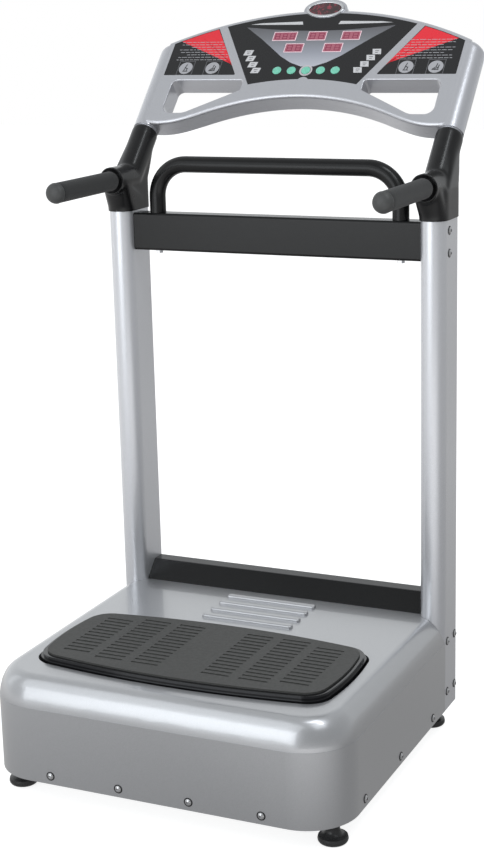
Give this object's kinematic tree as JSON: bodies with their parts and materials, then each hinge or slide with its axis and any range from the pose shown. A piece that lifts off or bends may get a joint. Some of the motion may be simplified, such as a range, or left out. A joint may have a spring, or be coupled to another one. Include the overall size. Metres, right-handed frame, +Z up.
{
  "type": "vibration plate",
  "caption": "Oscillating vibration plate: moulded base with rocking foot platform, twin posts, crossbar, rear handle, foam grips and tilted console.",
  "frame": {"origin": "centre of the overall footprint, on the floor under the feet", "axes": "+Z up, +X to the right of a person facing the console from the front, +Y towards the rear posts"},
  "size_m": [0.7072, 0.8992, 1.4057],
  "materials": {
    "silver_cover": "metallic silver lacquer, high gloss",
    "silver_post": "metallic silver powder coat, gloss",
    "black_paint": "satin black powder coat",
    "black_plastic": "satin moulded plastic",
    "switch_rocker": "gloss",
    "platform_black": "gloss moulded",
    "mat_rubber": "fine grained, matte",
    "grip_foam": "closed-cell foam",
    "cap_rubber": "matte",
    "foot_rubber": "satin",
    "screws": "bright plated",
    "label_film": "printed film",
    "display_red": "tinted window",
    "board_green": "circuit board",
    "button_green": "translucent silicone",
    "badge_chrome": "bright plated",
    "badge_red": "domed resin",
    "chassis_paint": "black enamel",
    "zinc_sheet": "zinc plated",
    "shaft_steel": "ground",
    "bearing_iron": "cast, painted",
    "pulley_alloy": "turned",
    "belt_rubber": "ribbed belt",
    "motor_paint": "enamel",
    "heat_sink": "anodised"
  },
  "bodies": {
    "frame": {"badge_lens": "badge_red", "badge_ring": "badge_chrome", "base_cover": "silver_cover", "base_screws": "screws", "bottom_plate": "zinc_sheet", "centre_label": "label_film", "chassis": "chassis_paint", "console_back": "silver_cover", "console_front": "silver_cover", "console_screws": "screws", "control_board": "board_green", "crank_bearings": "bearing_iron", "crossbar": "black_paint", "displays": "display_red", "drive_belt": "belt_rubber", "grip_cap_left": "cap_rubber", "grip_cap_right": "cap_rubber", "grip_left": "grip_foam", "grip_right": "grip_foam", "handle_bolts": "screws", "handlebar_left": "shaft_steel", "handlebar_right": "shaft_steel", "lock_nuts": "screws", "lower_panel": "black_paint", "motor_body": "motor_paint", "motor_bracket": "chassis_paint", "pivot_bearings": "bearing_iron", "post_left": "silver_post", "post_plugs": "black_plastic", "post_right": "silver_post", "post_screws": "screws", "power_inlet": "black_plastic", "rear_handle": "black_paint", "side_label_left": "label_film", "side_label_right": "label_film", "sleeve_left": "black_plastic", "sleeve_right": "black_plastic", "speed_controller": "heat_sink"},
    "platform": {"rocker_frame": "chassis_paint", "pivot_shaft": "shaft_steel", "rod_pins": "shaft_steel", "platform_tray": "platform_black", "platform_mat": "mat_rubber"},
    "crank": {"crank_shaft": "shaft_steel", "crank_pulley": "pulley_alloy"},
    "rod_left": {"rod_left": "bearing_iron"},
    "rod_right": {"rod_right": "bearing_iron"},
    "motor_rotor": {"motor_shaft": "shaft_steel", "motor_pulley": "pulley_alloy"},
    "power_switch": {"power_switch": "switch_rocker"},
    "program_button": {"program_button": "button_green"},
    "time_button": {"time_button": "button_green"},
    "start_button": {"start_button": "button_green"},
    "slower_button": {"slower_button": "button_green"},
    "faster_button": {"faster_button": "button_green"},
    "foot_front_left": {"foot_front_left": "foot_rubber"},
    "foot_front_right": {"foot_front_right": "foot_rubber"},
    "foot_rear_left": {"foot_rear_left": "foot_rubber"},
    "foot_rear_right": {"foot_rear_right": "foot_rubber"}
  },
  "joints": [
    {"name": "platform_rock", "type": "hinge", "parent": "frame", "child": "platform", "pos_m": [0, -0.234, 0.205], "axis": [0, 1, 0], "range_deg": [-1, 1]},
    {"name": "crank_spin", "type": "hinge", "parent": "frame", "child": "crank", "pos_m": [0, -0.234, 0.131], "axis": [1, 0, 0], "continuous": true},
    {"name": "motor_spin", "type": "hinge", "parent": "frame", "child": "motor_rotor", "pos_m": [-0.19, -0.016, 0.147], "axis": [1, 0, 0], "continuous": true},
    {"name": "rod_left_turn", "type": "hinge", "parent": "crank", "child": "rod_left", "pos_m": [-0.11, -0.2359, 0.131], "axis": [1, 0, 0], "continuous": true},
    {"name": "rod_right_turn", "type": "hinge", "parent": "crank", "child": "rod_right", "pos_m": [0.11, -0.2321, 0.131], "axis": [1, 0, 0], "continuous": true},
    {"name": "program_button_press", "type": "slide", "parent": "frame", "child": "program_button", "axis": [0, 0.7254, -0.6884], "range_m": [0, 0.001], "stiffness_N_per_m": 300, "springref_m": -0.0015},
    {"name": "time_button_press", "type": "slide", "parent": "frame", "child": "time_button", "axis": [0, 0.7254, -0.6884], "range_m": [0, 0.001], "stiffness_N_per_m": 300, "springref_m": -0.0015},
    {"name": "start_button_press", "type": "slide", "parent": "frame", "child": "start_button", "axis": [0, 0.7254, -0.6884], "range_m": [0, 0.001], "stiffness_N_per_m": 300, "springref_m": -0.0015},
    {"name": "slower_button_press", "type": "slide", "parent": "frame", "child": "slower_button", "axis": [0, 0.7254, -0.6884], "range_m": [0, 0.001], "stiffness_N_per_m": 300, "springref_m": -0.0015},
    {"name": "faster_button_press", "type": "slide", "parent": "frame", "child": "faster_button", "axis": [0, 0.7254, -0.6884], "range_m": [0, 0.001], "stiffness_N_per_m": 300, "springref_m": -0.0015},
    {"name": "power_switch_rock", "type": "hinge", "parent": "frame", "child": "power_switch", "pos_m": [-0.215, 0.188, 0.11], "axis": [1, 0, 0], "range_deg": [-8, 8]},
    {"name": "foot_front_left_screw", "type": "hinge", "parent": "frame", "child": "foot_front_left", "pos_m": [-0.311, -0.375, 0], "axis": [0, 0, 1], "continuous": true},
    {"name": "foot_front_right_screw", "type": "hinge", "parent": "frame", "child": "foot_front_right", "pos_m": [0.311, -0.375, 0], "axis": [0, 0, 1], "continuous": true},
    {"name": "foot_rear_left_screw", "type": "hinge", "parent": "frame", "child": "foot_rear_left", "pos_m": [-0.311, 0.153, 0], "axis": [0, 0, 1], "continuous": true},
    {"name": "foot_rear_right_screw", "type": "hinge", "parent": "frame", "child": "foot_rear_right", "pos_m": [0.311, 0.153, 0], "axis": [0, 0, 1], "continuous": true}
  ],
  "couplings": [
    {"joint": "motor_spin", "follows": "crank_spin", "ratio": 2},
    {"joint": "rod_left_turn", "follows": "crank_spin", "ratio": -1},
    {"joint": "rod_right_turn", "follows": "crank_spin", "ratio": -1}
  ]
}
